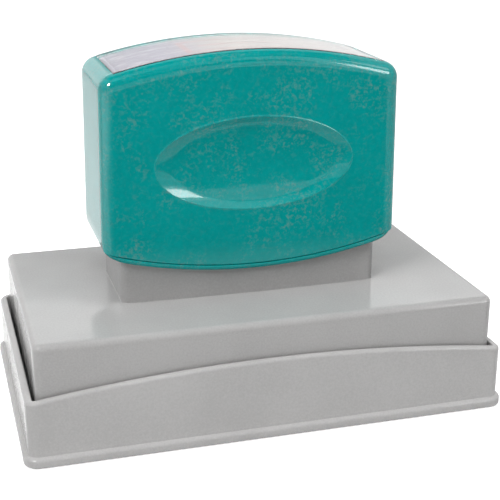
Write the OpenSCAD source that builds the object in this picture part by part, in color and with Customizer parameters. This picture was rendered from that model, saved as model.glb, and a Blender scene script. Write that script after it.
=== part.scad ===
// Pre-inked hand stamp standing in its dust cover.
// The origin is the centre of the cover's underside: X runs along the stamp,
// -Y faces the front and +Z is up. All sizes are in millimetres.

/* [Skirt] */
// Length of the grey skirt, left to right
skirt_l = 112.8; // [106:0.2:124]
// Depth of the skirt, front to back
skirt_d = 65.6; // [60:0.2:74]
// Height of the skirt from its rim to its shoulder
skirt_h = 25.3; // [24:0.1:32]
// Thickness of the skirt's side walls
skirt_wall = 1.8; // [1.4:0.1:2.4]
// Thickness of the skirt's roof
roof_t = 2.2; // [1.6:0.1:2.8]
// Plan radius of the skirt's corners
skirt_corner_r = 2; // [1.6:0.1:3]
// Rounding along the skirt's shoulder
shoulder_r = 1.5; // [0.6:0.1:1.6]

/* [Neck] */
// Length of the neck that rises from the skirt
neck_l = 65.2; // [60:0.2:74]
// Depth of the neck at its ends
neck_d = 24.9; // [23:0.1:29]
// How far the neck's long faces bow outwards
neck_bow = 0.9; // [0.3:0.1:1.5]
// Wall thickness of the neck
neck_wall = 1.6; // [1.2:0.1:2.2]
// Plan radius of the neck's corners
neck_corner_r = 1.6; // [1:0.1:2.4]
// Room between the top of the neck and the dishes' backs at full press
neck_top_gap = 0.6; // [0.4:0.1:2]
// Height of the collars that guide the ink tubes
collar_h = 4; // [2:0.5:7]
// Wall thickness of those collars
collar_wall = 1.2; // [0.8:0.1:1.6]

/* [Dust cover] */
// Thickness of the cover's walls
cover_wall = 1.7; // [1.3:0.1:2.2]
// Thickness of the cover's floor
cover_floor = 1.8; // [1.4:0.1:2.4]
// Height above the floor of the ledge that the skirt stands on
ledge_h = 1.6; // [1.2:0.1:2.5]
// Gap between skirt and cover at each end
cover_gap_x = 0.8; // [0.4:0.1:1.5]
// Gap between skirt and cover at front and back
cover_gap_y = 0.3; // [0.3:0.1:1]
// Height of the cover's rim at its ends
cover_end_h = 15.8; // [12:0.1:20]
// How far the rim arches up in the middle of front and back
cover_arch = 4.1; // [2:0.1:6]
// Plan radius of the cover's corners
cover_corner_r = 2.5; // [2.3:0.1:4]
// How far the foot stands out past the walls
foot_out = 1.1; // [0.6:0.1:2]
// Height of the foot
foot_h = 2.5; // [2:0.1:4]
// Rounding along the foot's upper edge
foot_round = 0.9; // [0.4:0.1:1.2]

/* [Printing unit] */
// Travel of the handle when the stamp is pressed
press_travel = 4; // [3:0.1:5]
// How far the die passes the skirt's rim at full press
print_depth = 0.5; // [0.2:0.1:0.8]
// Height of the raised printing lines on the die
relief_h = 1.5; // [1.3:0.1:2]
// Thickness of the die's sheet
die_t = 2.2; // [1.5:0.1:3]
// Width of the die's raised border and bars
bar_w = 2.5; // [1.5:0.1:4]
// Number of raised bars inside the border
bar_count = 4; // [2:1:6]
// Distance of the bars' ends from the border
bar_margin = 5; // [3:0.5:10]
// Room between the raised border and the frame's lip
relief_gap = 1; // [0.5:0.1:2]
// Wall thickness of the frame that clamps the die
frame_wall = 1.4; // [1:0.1:2]
// Height of that frame
frame_h = 7; // [5:0.5:9]
// Thickness of the frame's lip under the die
frame_lip_t = 1; // [0.6:0.1:1.2]
// Width of that lip
frame_lip_w = 2.4; // [1.5:0.1:4]
// Running gap between the frame and the skirt
slide_gap = 0.35; // [0.3:0.05:0.6]
// Wall thickness of the die holder
holder_wall = 1.4; // [1:0.1:2]
// Thickness of the die holder's plate
plate_t = 2.2; // [2:0.1:3]
// Slack around the ink pad
pad_slack = 0.2; // [0.1:0.05:0.5]
// Radius of the rubber buffers on the plate
buffer_r = 3.5; // [2.5:0.1:5]
// Distance of each buffer from the plate's edges
buffer_inset = 9; // [6:0.5:14]
// Room above the buffers at rest
stop_gap = 0.3; // [0.2:0.05:0.5]

/* [Ink tubes] */
// Distance between the two ink tubes
tube_span = 32; // [28:0.5:36]
// Outer radius of each ink tube
tube_r = 5.5; // [5:0.1:6.2]
// Radius of the ink channel in each tube
tube_bore_r = 3; // [2:0.1:3.2]
// Thickness of each tube's foot
tube_foot_t = 2; // [1.8:0.1:3]
// Margin of the foot around the tube and its screws
foot_margin = 0.6; // [0.4:0.1:1.5]
// How far each tube stands above its retaining clip
tube_over = 2.4; // [1:0.1:5]
// Radial running clearance of the tubes in their collars
tube_fit = 0.08; // [0.05:0.01:0.1]
// Section radius of the seal under each foot
seal_r = 0.6; // [0.4:0.05:0.7]

/* [Fasteners] */
// Radius of a screw's shank
screw_r = 1; // [0.8:0.1:1.3]
// Radius of a screw's head
screw_head_r = 1.9; // [1.6:0.1:2.4]
// Height of a screw's head
screw_head_h = 1.2; // [0.8:0.1:1.6]
// Width and depth of the slots in a screw's head
screw_slot = 0.5; // [0.3:0.05:0.6]
// Distance of a screw's tip from the far side of the plate
screw_tip_gap = 0.4; // [0.2:0.1:1]
// Thickness of a retaining clip
clip_t = 0.8; // [0.6:0.1:1.2]
// Radial width of a retaining clip
clip_w = 2.4; // [1.6:0.1:3]
// Depth of the clip's groove in the tube
clip_depth = 0.8; // [0.5:0.1:1]

/* [Springs and yoke] */
// Free height of each return spring between the roof and the yoke
spring_len = 30; // [26:0.5:34]
// Wire diameter of the springs
spring_wire = 1.2; // [0.8:0.1:1.4]
// Number of curls in each spring
spring_turns = 6; // [5:1:7]
// Gap between the wires of the closed end curls
spring_end_gap = 0.55; // [0.45:0.05:1]
// Gap between a spring and the collar inside it
spring_clear = 0.4; // [0.3:0.1:1]
// Thickness of the yoke
yoke_t = 4; // [3:0.1:6]
// Margin of the yoke outside the springs
yoke_rim = 1.2; // [0.5:0.1:2]
// Plan radius of the yoke's corners
yoke_corner_r = 3; // [1:0.1:5]
// Thickness of the rubber grip pads on the yoke's ends
grip_t = 1.2; // [0.8:0.1:2]
// Width of those pads, front to back
grip_w = 10; // [6:0.5:14]
// Gap between the pads and the handle's lands
grip_gap = 0.3; // [0.3:0.05:0.6]

/* [Handle] */
// Wall thickness of the handle
handle_wall = 1.5; // [1.3:0.1:2]
// Gap between neck and handle at each end
handle_gap_x = 3.05; // [2:0.05:4]
// Gap between neck and handle at front and back
handle_gap_y = 0.4; // [0.3:0.1:1]
// Gap left between handle and skirt at full press
handle_clear = 2.9; // [1:0.1:6]
// Height of the handle's ends
handle_side_h = 42.7; // [40:0.1:50]
// How far the underside curves down in the middle
handle_sag = 5.6; // [3:0.1:8]
// How far the top curves up in the middle
handle_crown = 5.3; // [3:0.1:8]
// How far each end leans in towards the top
handle_taper = 0.6; // [0.1:0.1:1.2]
// Rounding of the handle's upright and upper edges
handle_edge_r = 3.5; // [2:0.1:3.9]
// Radius of the handle's corners, seen from the front
handle_corner_r = 4; // [3.6:0.1:6]
// Height of the base ring that closes the underside
ring_h = 1.5; // [1.2:0.1:3]
// Width of the parting line above the base ring
parting_gap = 0.25; // [0.1:0.05:0.4]
// Gap between the base ring and the neck at each end
ring_gap = 1; // [0.5:0.1:1.8]
// Height of the tongues that locate the base ring
tongue_h = 4; // [2:0.5:6]
// Thickness of those tongues
tongue_t = 1.2; // [0.8:0.1:1.5]
// Width of those tongues, front to back
tongue_w = 14; // [8:0.5:18]
// Thickness of the ribs that push on the yoke
rib_t = 1.6; // [1.2:0.1:2.4]
// Length of the oval dish in front and back
dish_l = 48.6; // [40:0.2:54]
// Height of the oval dish
dish_h = 22.2; // [18:0.2:25]
// Width of the dish's sloping rim at its left and right
dish_rim_end = 4.3; // [2:0.1:6]
// Width of that rim at top and bottom
dish_rim_side = 1.7; // [0.8:0.1:3]
// Depth of the dish
dish_depth = 1.3; // [0.6:0.1:1.5]

/* [Label] */
// Thickness of the clear window
window_t = 1.2; // [0.8:0.1:1.6]
// Margin between the window and the handle's ends
window_end_margin = 3.5; // [2.5:0.1:6]
// Margin between the window and the handle's front and back
window_side_margin = 2.45; // [2:0.05:3.5]
// Gap around and under the window
window_gap = 0.2; // [0.15:0.05:0.4]
// Width of the ledge that the window sits on
window_ledge = 1; // [0.6:0.1:1.4]
// Thickness of the paper label
label_t = 0.3; // [0.2:0.05:0.5]
// Slack around and above the label
label_slack = 0.1; // [0.05:0.05:0.3]
// Thickness of the handle's top under the label
top_skin = 1.6; // [1.2:0.1:2.4]

/* [Hidden] */

$fn = 64;
// Facets of the long, flat arcs
arc_fn = 720;
// Facets of shapes inside a hull
hull_fn = 32;
// Facets of the balls that round the handle's edges
edge_fn = 24;
// Steps along each of the handle's long arcs, from the middle to a corner
arc_steps = 6;
// Extra length of a cut past the faces that it opens
cut = 1;
// Clearance of faces that seat on each other across a joint
seat_gap = 0.1;
// Clearance of pieces that are assembled into each other
fit_gap = 0.05;
// How deep ribs and backs sink into the wall that they grow from
root = 0.3;

grey = [0.70, 0.70, 0.69];
teal = [0.05, 0.54, 0.53];
black = [0.12, 0.12, 0.13];
felt = [0.80, 0.78, 0.72];
rubber = [0.42, 0.20, 0.18];
natural = [0.88, 0.88, 0.84];
steel = [0.70, 0.71, 0.73];

// Heights of the skirt and of what it carries
ledge_z = cover_floor + ledge_h;
rim_z = ledge_z + seat_gap;
roof_z = rim_z + skirt_h;
ceiling_z = roof_z - roof_t;
face_z = rim_z + press_travel - print_depth;
die_z = face_z + relief_h;
die_top_z = die_z + die_t;
frame_z = die_z - frame_lip_t;
// The buffers are as tall as a tube's foot with a screw's head on it
buffer_h = tube_foot_t + screw_head_h + stop_gap;
plate_top_z = ceiling_z - stop_gap - buffer_h;
plate_z = plate_top_z - plate_t;

// Plan sizes of the cover, worked out from the skirt inside it
cover_in_l = skirt_l + 2 * cover_gap_x;
cover_in_d = skirt_d + 2 * cover_gap_y;
cover_l = cover_in_l + 2 * cover_wall;
cover_d = cover_in_d + 2 * cover_wall;
cover_top_z = cover_end_h + cover_arch;
cover_arc_r = arc_radius(cover_l / 2, cover_arch);
foot_l = cover_l + 2 * foot_out;
foot_d = cover_d + 2 * foot_out;
foot_corner_r = cover_corner_r + foot_out;

// Plan sizes of the printing unit, worked out from the skirt around it
skirt_in_l = skirt_l - 2 * skirt_wall;
skirt_in_d = skirt_d - 2 * skirt_wall;
frame_l = skirt_in_l - 2 * slide_gap;
frame_d = skirt_in_d - 2 * slide_gap;
frame_in_l = frame_l - 2 * frame_wall;
frame_in_d = frame_d - 2 * frame_wall;
holder_l = frame_in_l - 2 * fit_gap;
holder_d = frame_in_d - 2 * fit_gap;
pad_room_l = holder_l - 2 * holder_wall;
pad_room_d = holder_d - 2 * holder_wall;
relief_l = frame_in_l - 2 * frame_lip_w - 2 * relief_gap;
relief_d = frame_in_d - 2 * frame_lip_w - 2 * relief_gap;

// Springs stand round the collars, and the yoke lies on the springs.
// The wire's straight steps come closest to the collar at their middles.
rings_per_curl = 8;
wire_sides = 6;
collar_r = tube_r + tube_fit + collar_wall;
spring_mean_r = (collar_r + spring_clear) / cos(180 / rings_per_curl) + spring_wire / 2;
spring_out_r = spring_mean_r + spring_wire / 2;
yoke_z = roof_z + spring_len;
yoke_top_z = yoke_z + yoke_t;
clip_z = yoke_top_z + fit_gap;
tube_top_z = clip_z + clip_t + tube_over;
clip_in_r = tube_r - clip_depth + fit_gap;
clip_out_r = clip_in_r + clip_w;
tube_screw_x = tube_r + foot_margin + screw_head_r;
seal_mean_r = tube_bore_r + foot_margin + seal_r;
pilot_r = screw_r + fit_gap;
screw_len = tube_foot_t + plate_t - screw_tip_gap;

// The handle's outline, seen from the front
handle_d = neck_d + 2 * (neck_bow + handle_gap_y + handle_wall);
handle_l = neck_l + 2 * (handle_gap_x + handle_wall);
handle_in_d = handle_d - 2 * handle_wall;
handle_low_z = roof_z + press_travel + handle_clear;
handle_end_z = handle_low_z + handle_sag;
handle_shoulder_z = handle_end_z + handle_side_h;
handle_top_z = handle_shoulder_z + handle_crown;
handle_top_l = handle_l - 2 * handle_taper;
under_r = arc_radius(handle_l / 2, handle_sag);
under_z = handle_low_z + under_r;
crown_r = arc_radius(handle_top_l / 2, handle_crown);
crown_z = handle_top_z - crown_r;
// Centres of the balls along the right half of the handle's top and end, in X and Z
high_corner_x = handle_x(handle_shoulder_z - handle_corner_r) - handle_corner_r;
high_corner = arc_point(high_corner_x, crown_z, crown_r - handle_corner_r, 1);
ball_stations = concat(
  [for (i = [0 : arc_steps - 1])
    arc_point(high_corner_x * i / arc_steps, crown_z, crown_r - handle_edge_r, 1)],
  corner_points(high_corner, acos(high_corner_x / (crown_r - handle_corner_r))),
  [[handle_x(roof_z) - handle_edge_r, roof_z]]);
// Centres of the discs along the right half of the underside's outline, in X and Z
low_corner_x = handle_x(handle_end_z + handle_corner_r) - handle_corner_r;
low_stations = [for (i = [0 : arc_steps])
  arc_point(low_corner_x * i / arc_steps, under_z, under_r - handle_corner_r, -1)];

dish_z = (handle_low_z + handle_top_z) / 2;
neck_h = dish_z - dish_h / 2 - neck_top_gap - press_travel - roof_z;

// The label lies in a stepped pocket in the handle's top
window_l = handle_top_l - 2 * window_end_margin;
window_d = handle_d - 2 * window_side_margin;
window_seat = window_t + window_gap;
label_seat = window_seat + label_t + label_slack;
label_l = window_l - 2 * window_ledge;
label_d = window_d - 2 * window_ledge;

// The yoke's pads reach as far as the base ring and its tongues let them pass
ring_in_x = neck_l / 2 + ring_gap;
tongue_x = handle_in_x(handle_end_z + tongue_h + ring_h) - fit_gap - tongue_t / 2;
land_x = min(ring_in_x, tongue_x - tongue_t / 2);
yoke_l = 2 * (land_x - grip_gap - grip_t);
yoke_d = 2 * (spring_out_r + yoke_rim);
rib_x = (tube_span / 2 + clip_out_r + yoke_l / 2) / 2;

// Radius of an arc that rises by rise over half a chord
function arc_radius(half, rise) = (half * half + rise * rise) / (2 * rise);

// Height of the handle's underside at x
function under_height(x) = under_z - sqrt(under_r * under_r - x * x);

// Half length of the handle at height z
function handle_x(z) = handle_l / 2 - handle_taper * (z - handle_end_z) / handle_side_h;

// Half length of the handle's inside at height z
function handle_in_x(z) = handle_x(z) - handle_wall;

// Point on an arc of radius r about [0, z], at x, above (1) or below (-1) its centre
function arc_point(x, z, r, way) = [x, z + way * sqrt(r * r - x * x)];

// Points round a corner of the handle, from its end face to its long arc
function corner_points(centre, turn) =
  [for (part = [0, 0.5, 1])
    centre + (handle_corner_r - handle_edge_r) * [cos(part * turn), sin(part * turn)]];

// How far the neck's long face lies from the middle at x
function neck_face(x) = neck_d / 2 + neck_bow * (1 - pow(2 * x / neck_l, 2));

// Rectangle with rounded corners, centred
module rounded_rect(l, d, r) {
  square([l - 2 * r, d], center = true);
  square([l, d - 2 * r], center = true);
  for (sx = [-1, 1], sy = [-1, 1])
    translate([sx * (l / 2 - r), sy * (d / 2 - r)])
      circle(r = r);
}

// Upright block on a rectangle, centred in plan
module block(l, d, z0, z1) {
  translate([-l / 2, -d / 2, z0])
    cube([l, d, z1 - z0]);
}

// Upright block with rounded corners in plan
module rounded_block(l, d, r, z0, z1) {
  translate([0, 0, z0])
    linear_extrude(z1 - z0)
      rounded_rect(l, d, r);
}

// Block with rounded corners in plan and a rounded upper edge
module pillow_block(l, d, r, edge, z0, z1) {
  soft = min(edge, r - fit_gap);
  hull()
    for (sx = [-1, 1], sy = [-1, 1])
      translate([sx * (l / 2 - r), sy * (d / 2 - r), z0]) {
        cylinder(r = r, h = z1 - z0 - soft, $fn = hull_fn);
        translate([0, 0, z1 - z0 - soft])
          rotate_extrude($fn = hull_fn)
            translate([r - soft, 0])
              intersection() {
                circle(r = soft, $fn = hull_fn);
                square(soft);
              }
      }
}

// Disc that lies across the stamp, with its axis along Y
module cross_disc(r, z, depth) {
  translate([0, 0, z])
    rotate([90, 0, 0])
      cylinder(r = r, h = depth, center = true, $fn = arc_fn);
}

// Places its children at both ink tubes
module at_tubes() {
  for (side = [-1, 1])
    translate([side * tube_span / 2, 0, 0])
      children();
}

// Places its children at the two screws of one tube's foot
module at_foot_screws() {
  for (side = [-1, 1])
    translate([side * tube_screw_x, 0, 0])
      children();
}

// Dust cover: an open tray with an arched rim, a ledge for the skirt and a foot all round
module dust_cover() {
  color(grey)
    difference() {
      union() {
        intersection() {
          rounded_block(cover_l, cover_d, cover_corner_r, 0, cover_top_z);
          cross_disc(cover_arc_r, cover_top_z - cover_arc_r, foot_d);
        }
        pillow_block(foot_l, foot_d, foot_corner_r, foot_round, 0, foot_h);
      }
      rounded_block(cover_in_l, cover_in_d, cover_corner_r - cover_wall, ledge_z, cover_top_z + cut);
      block(skirt_in_l, skirt_in_d, cover_floor, ledge_z + cut);
    }
}

// Outline of the neck in plan: long faces slightly bowed, corners rounded
module neck_plan() {
  steps = 8;
  reach = neck_l / 2 - neck_corner_r;
  hull()
    for (i = [0 : steps], side = [-1, 1]) {
      x = reach * (2 * i / steps - 1);
      translate([x, side * (neck_face(x) - neck_corner_r)])
        circle(r = neck_corner_r, $fn = hull_fn);
    }
}

// Skirt: the outer body, open below, with a hollow neck and the collars that guide the tubes
module skirt_housing() {
  color(grey)
    difference() {
      union() {
        difference() {
          union() {
            pillow_block(skirt_l, skirt_d, skirt_corner_r, shoulder_r, rim_z, roof_z);
            translate([0, 0, roof_z - roof_t / 2])
              linear_extrude(neck_h + roof_t / 2)
                neck_plan();
          }
          block(skirt_in_l, skirt_in_d, rim_z - cut, ceiling_z);
          block(neck_l - 2 * neck_wall, neck_d - 2 * neck_wall, roof_z, roof_z + neck_h + cut);
        }
        at_tubes()
          translate([0, 0, roof_z - roof_t / 2])
            cylinder(r = collar_r, h = roof_t / 2 + collar_h);
      }
      at_tubes()
        translate([0, 0, ceiling_z - cut])
          cylinder(r = tube_r + tube_fit, h = roof_t + collar_h + 2 * cut);
    }
}

// Die holder: a shallow box, open below, that keeps the ink pad behind the die
module die_holder() {
  color(black)
    difference() {
      block(holder_l, holder_d, die_top_z, plate_top_z);
      block(pad_room_l, pad_room_d, die_top_z - cut, plate_z);
      at_tubes() {
        translate([0, 0, plate_z - cut])
          cylinder(r = tube_bore_r, h = plate_t + 2 * cut);
        at_foot_screws()
          translate([0, 0, plate_z - cut])
            cylinder(r = pilot_r, h = plate_t + 2 * cut);
      }
    }
}

// Ink pad: the felt reservoir that fills the holder
module ink_pad() {
  color(felt)
    block(pad_room_l - 2 * pad_slack, pad_room_d - 2 * pad_slack, die_top_z, plate_z - pad_slack);
}

// Stamp die: a porous rubber sheet with a raised border and bars
module stamp_die() {
  bar_room = relief_d - 2 * bar_w;
  bar_pitch = bar_room / (bar_count + 1);
  bar_l = relief_l - 2 * (bar_w + bar_margin);
  color(rubber) {
    block(holder_l, holder_d, die_z, die_top_z);
    difference() {
      block(relief_l, relief_d, face_z, die_z + die_t / 2);
      block(relief_l - 2 * bar_w, relief_d - 2 * bar_w, face_z - cut, die_z);
    }
    for (i = [1 : bar_count])
      translate([0, i * bar_pitch - bar_room / 2, 0])
        block(bar_l, bar_w, face_z, die_z + die_t / 2);
  }
}

// Die frame: grips the holder's sides and carries the die's edge on a lip
module die_frame() {
  color(black)
    difference() {
      block(frame_l, frame_d, frame_z, frame_z + frame_h);
      block(frame_in_l, frame_in_d, die_z, frame_z + frame_h + cut);
      block(frame_in_l - 2 * frame_lip_w, frame_in_d - 2 * frame_lip_w, frame_z - cut, die_z + cut);
    }
}

// One ink tube: a hollow stem on a screwed foot, with a seal groove below and a clip groove above
module ink_tube() {
  foot_plan_l = 2 * (tube_screw_x + screw_head_r + foot_margin);
  foot_plan_d = 2 * (tube_r + foot_margin + screw_head_r);
  groove_h = 2 * seal_r + fit_gap;
  color(natural)
    difference() {
      union() {
        rounded_block(foot_plan_l, foot_plan_d, screw_head_r, plate_top_z, plate_top_z + tube_foot_t);
        translate([0, 0, plate_top_z])
          cylinder(r = tube_r, h = tube_top_z - plate_top_z);
      }
      translate([0, 0, plate_top_z - cut])
        cylinder(r = tube_bore_r, h = tube_top_z - plate_top_z + 2 * cut);
      at_foot_screws()
        translate([0, 0, plate_top_z - cut])
          cylinder(r = pilot_r, h = tube_foot_t + 2 * cut);
      translate([0, 0, plate_top_z - cut])
        ring(seal_mean_r - seal_r - fit_gap, seal_mean_r + seal_r + fit_gap, groove_h + cut);
      translate([0, 0, yoke_top_z])
        ring(tube_r - clip_depth, tube_r + cut, clip_t + 2 * fit_gap);
    }
}

// Flat ring standing on its own plane
module ring(inner, outer, h) {
  difference() {
    cylinder(r = outer, h = h);
    translate([0, 0, -cut])
      cylinder(r = inner, h = h + 2 * cut);
  }
}

module ink_tube_left() {
  translate([-tube_span / 2, 0, 0])
    ink_tube();
}

module ink_tube_right() {
  translate([tube_span / 2, 0, 0])
    ink_tube();
}

// Tube seals: rubber rings that keep the ink in where the feet meet the plate
module tube_seals() {
  color(black)
    at_tubes()
      translate([0, 0, plate_top_z + seal_r])
        rotate_extrude()
          translate([seal_mean_r, 0])
            circle(r = seal_r);
}

// Tube screws: cross-slotted screws that hold the feet on the plate
module tube_screws() {
  head_z = plate_top_z + tube_foot_t;
  color(steel)
    at_tubes()
      at_foot_screws()
        difference() {
          union() {
            translate([0, 0, head_z - screw_len])
              cylinder(r = screw_r, h = screw_len + screw_head_h / 2);
            translate([0, 0, head_z])
              cylinder(r = screw_head_r, h = screw_head_h);
          }
          for (turn = [0, 90])
            rotate([0, 0, turn])
              block(2 * screw_head_r - 2 * screw_slot, screw_slot,
                    head_z + screw_head_h - screw_slot, head_z + screw_head_h + cut);
        }
}

// Stop buffers: rubber studs that meet the skirt's roof when the springs lift the unit
module stop_buffers() {
  color(black)
    for (sx = [-1, 1], sy = [-1, 1])
      translate([sx * (holder_l / 2 - buffer_inset), sy * (holder_d / 2 - buffer_inset), plate_top_z])
        cylinder(r = buffer_r, h = buffer_h);
}

// Points of a spring's centre line, with closed curls at both ends
end_pitch = spring_wire + spring_end_gap;
coil_rise = spring_len - 2 * fit_gap - spring_wire;
mid_pitch = (coil_rise - 2 * end_pitch) / (spring_turns - 2);

function coil_height(u) =
  u < 1 ? end_pitch * u :
  u < spring_turns - 1 ? end_pitch + mid_pitch * (u - 1) :
  coil_rise - end_pitch * (spring_turns - u);

coil_steps = spring_turns * rings_per_curl;
coil_line = [for (i = [0 : coil_steps])
  let (turn = 360 * i / rings_per_curl)
  [spring_mean_r * cos(turn), spring_mean_r * sin(turn), coil_height(i / rings_per_curl)]];

// Least gap between curls, over all pairs of points at least half a curl apart
spring_least_gap = min([for (i = [0 : coil_steps], j = [i + rings_per_curl / 2 : 1 : coil_steps])
  norm(coil_line[i] - coil_line[j]) - spring_wire]);
echo(spring_least_gap = spring_least_gap);

// Return spring: one unbroken round wire wound round a guide collar
module return_spring() {
  points = [for (i = [0 : coil_steps], k = [0 : wire_sides - 1])
    let (turn = 360 * i / rings_per_curl, lean = 360 * k / wire_sides)
    [(spring_mean_r + spring_wire / 2 * cos(lean)) * cos(turn),
     (spring_mean_r + spring_wire / 2 * cos(lean)) * sin(turn),
     coil_line[i][2] + spring_wire / 2 * sin(lean)]];
  last = coil_steps * wire_sides;
  walls = [for (i = [0 : coil_steps - 1], k = [0 : wire_sides - 1])
    let (a = i * wire_sides + k, b = i * wire_sides + (k + 1) % wire_sides)
    each [[a, b, a + wire_sides], [b, b + wire_sides, a + wire_sides]]];
  caps = [for (k = [1 : wire_sides - 2])
    each [[0, k + 1, k], [last, last + k, last + k + 1]]];
  color(steel)
    translate([0, 0, roof_z + fit_gap + spring_wire / 2])
      polyhedron(points, concat(walls, caps));
}

module return_spring_left() {
  translate([-tube_span / 2, 0, 0])
    return_spring();
}

module return_spring_right() {
  translate([tube_span / 2, 0, 0])
    return_spring();
}

// Yoke: the cross bar on top of the springs that takes the push of the hand
module yoke() {
  color(natural)
    difference() {
      rounded_block(yoke_l, yoke_d, yoke_corner_r, yoke_z, yoke_top_z);
      at_tubes()
        translate([0, 0, yoke_z - cut])
          cylinder(r = tube_r + fit_gap, h = yoke_t + 2 * cut);
    }
}

// Retaining clips: open rings in the tubes' grooves that keep the yoke down
module retaining_clips() {
  mouth = 2 * clip_in_r - clip_w;
  color(steel)
    at_tubes()
      translate([0, 0, clip_z])
        difference() {
          ring(clip_in_r, clip_out_r, clip_t);
          translate([-mouth / 2, -clip_out_r - cut, -cut])
            cube([mouth, clip_out_r + cut, clip_t + 2 * cut]);
        }
}

// Grip pads: rubber strips on the yoke's ends that hold the pull-off handle
module grip_pads() {
  color(black)
    for (side = [-1, 1])
      translate([side * (yoke_l + grip_t) / 2, 0, 0])
        block(grip_t, grip_w, yoke_z, yoke_top_z);
}

// Solid form of the whole handle: balls along its top and ends, drawn together past the
// underside, and cut to the underside's outline
module handle_form() {
  intersection() {
    hull()
      for (p = ball_stations, sx = [-1, 1], sy = [-1, 1])
        translate([sx * p[0], sy * (handle_d / 2 - handle_edge_r), p[1]])
          sphere(r = handle_edge_r, $fn = edge_fn);
    rotate([90, 0, 0])
      linear_extrude(handle_d + 2 * cut, center = true)
        hull() {
          for (p = low_stations, sx = [-1, 1])
            translate([sx * p[0], p[1]])
              circle(r = handle_corner_r, $fn = hull_fn);
          for (sx = [-1, 1])
            translate([sx * handle_x(handle_top_z), handle_top_z])
              circle(r = cut);
        }
  }
}

// Hollow inside the handle, open below, grown by more at front, back and top
module handle_hollow(more) {
  rotate([90, 0, 0])
    linear_extrude(handle_in_d + 2 * more, center = true)
      intersection() {
        polygon([[-handle_in_x(roof_z), roof_z], [handle_in_x(roof_z), roof_z],
                 [handle_in_x(handle_top_z), handle_top_z], [-handle_in_x(handle_top_z), handle_top_z]]);
        translate([0, crown_z])
          circle(r = crown_r - label_seat - top_skin + more, $fn = arc_fn);
      }
}

// Oval with a sloping rim, narrowing towards +Z
module oval_dish() {
  points = 64;
  narrowing = [1 - 2 * dish_rim_end / dish_l, 1 - 2 * dish_rim_side / dish_h];
  linear_extrude(dish_depth, scale = narrowing, slices = 1, segments = 0)
    polygon([for (i = [0 : points - 1])
      [dish_l / 2 * cos(360 * i / points), dish_h / 2 * sin(360 * i / points)]]);
}

// Places its child on the handle's front and back, facing inwards from a given depth
module at_dishes(depth) {
  for (side = [0, 180])
    rotate([0, 0, side])
      translate([0, depth - handle_d / 2, dish_z])
        rotate([-90, 0, 0])
          children();
}

// Pocket in the handle's curved top, sunk by depth
module top_pocket(l, d, depth) {
  difference() {
    block(l, d, handle_shoulder_z - label_seat - cut, handle_top_z + cut);
    cross_disc(crown_r - depth, crown_z, handle_d);
  }
}

// Handle shell: the teal grip, with oval dishes, a label pocket, ribs that push on the yoke
// and lands on its end walls that the grip pads hold
module handle_shell() {
  color(teal) {
    difference() {
      intersection() {
        handle_form();
        cross_disc(under_r - ring_h, under_z, handle_d + 2 * cut);
      }
      difference() {
        handle_hollow(0);
        at_dishes(handle_wall - root)
          translate([0, 0, root])
            oval_dish();
        for (side = [-1, 1])
          intersection() {
            handle_hollow(root);
            translate([side * rib_x, 0, 0])
              block(rib_t, handle_d, yoke_top_z + seat_gap, handle_top_z);
          }
        difference() {
          block(handle_l, grip_w, yoke_z, yoke_top_z);
          block(2 * land_x, handle_d, yoke_z - cut, yoke_top_z + cut);
        }
      }
      at_dishes(0)
        oval_dish();
      top_pocket(window_l + 2 * window_gap, window_d + 2 * window_gap, window_seat);
      top_pocket(label_l + 2 * label_slack, label_d + 2 * label_slack, label_seat);
    }
  }
}

// Handle base: the ring below the parting line, with tongues that locate it in the shell
module handle_base() {
  tongue_z = under_height(tongue_x);
  color(teal) {
    difference() {
      handle_form();
      cross_disc(under_r - ring_h + parting_gap, under_z, handle_d + 2 * cut);
      block(2 * ring_in_x, handle_in_d, roof_z, handle_end_z + 2 * ring_h);
    }
    for (side = [-1, 1])
      translate([side * tongue_x, 0, 0])
        block(tongue_t, tongue_w, tongue_z + ring_h / 2, tongue_z + ring_h + tongue_h);
  }
}

// Index label: a paper strip in the bottom of the pocket
module index_label() {
  color("ghostwhite")
    intersection() {
      block(label_l, label_d, roof_z, handle_top_z);
      difference() {
        cross_disc(crown_r - window_seat - label_slack, crown_z, handle_d);
        cross_disc(crown_r - label_seat, crown_z, handle_d + cut);
      }
    }
}

// Label window: a clear curved strip that snaps over the label
module label_window() {
  color([0.9, 0.95, 0.97, 0.4])
    intersection() {
      block(window_l, window_d, roof_z, handle_top_z);
      difference() {
        cross_disc(crown_r, crown_z, handle_d);
        cross_disc(crown_r - window_t, crown_z, handle_d + cut);
      }
    }
}

dust_cover();
skirt_housing();
die_holder();
ink_pad();
stamp_die();
die_frame();
ink_tube_left();
ink_tube_right();
tube_seals();
tube_screws();
stop_buffers();
return_spring_left();
return_spring_right();
yoke();
retaining_clips();
grip_pads();
handle_shell();
handle_base();
index_label();
label_window();
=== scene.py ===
"""Looks of a pre-inked stamp in its dust cover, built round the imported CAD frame.

Sizes are in millimetres along the frame's axes, and become metres when a mesh is made. The sections
follow the stamp as it is put together, from the cover at the bottom to the window on top.
"""

import bmesh
import bpy
import numpy as np
from mathutils import Matrix, Vector


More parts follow.
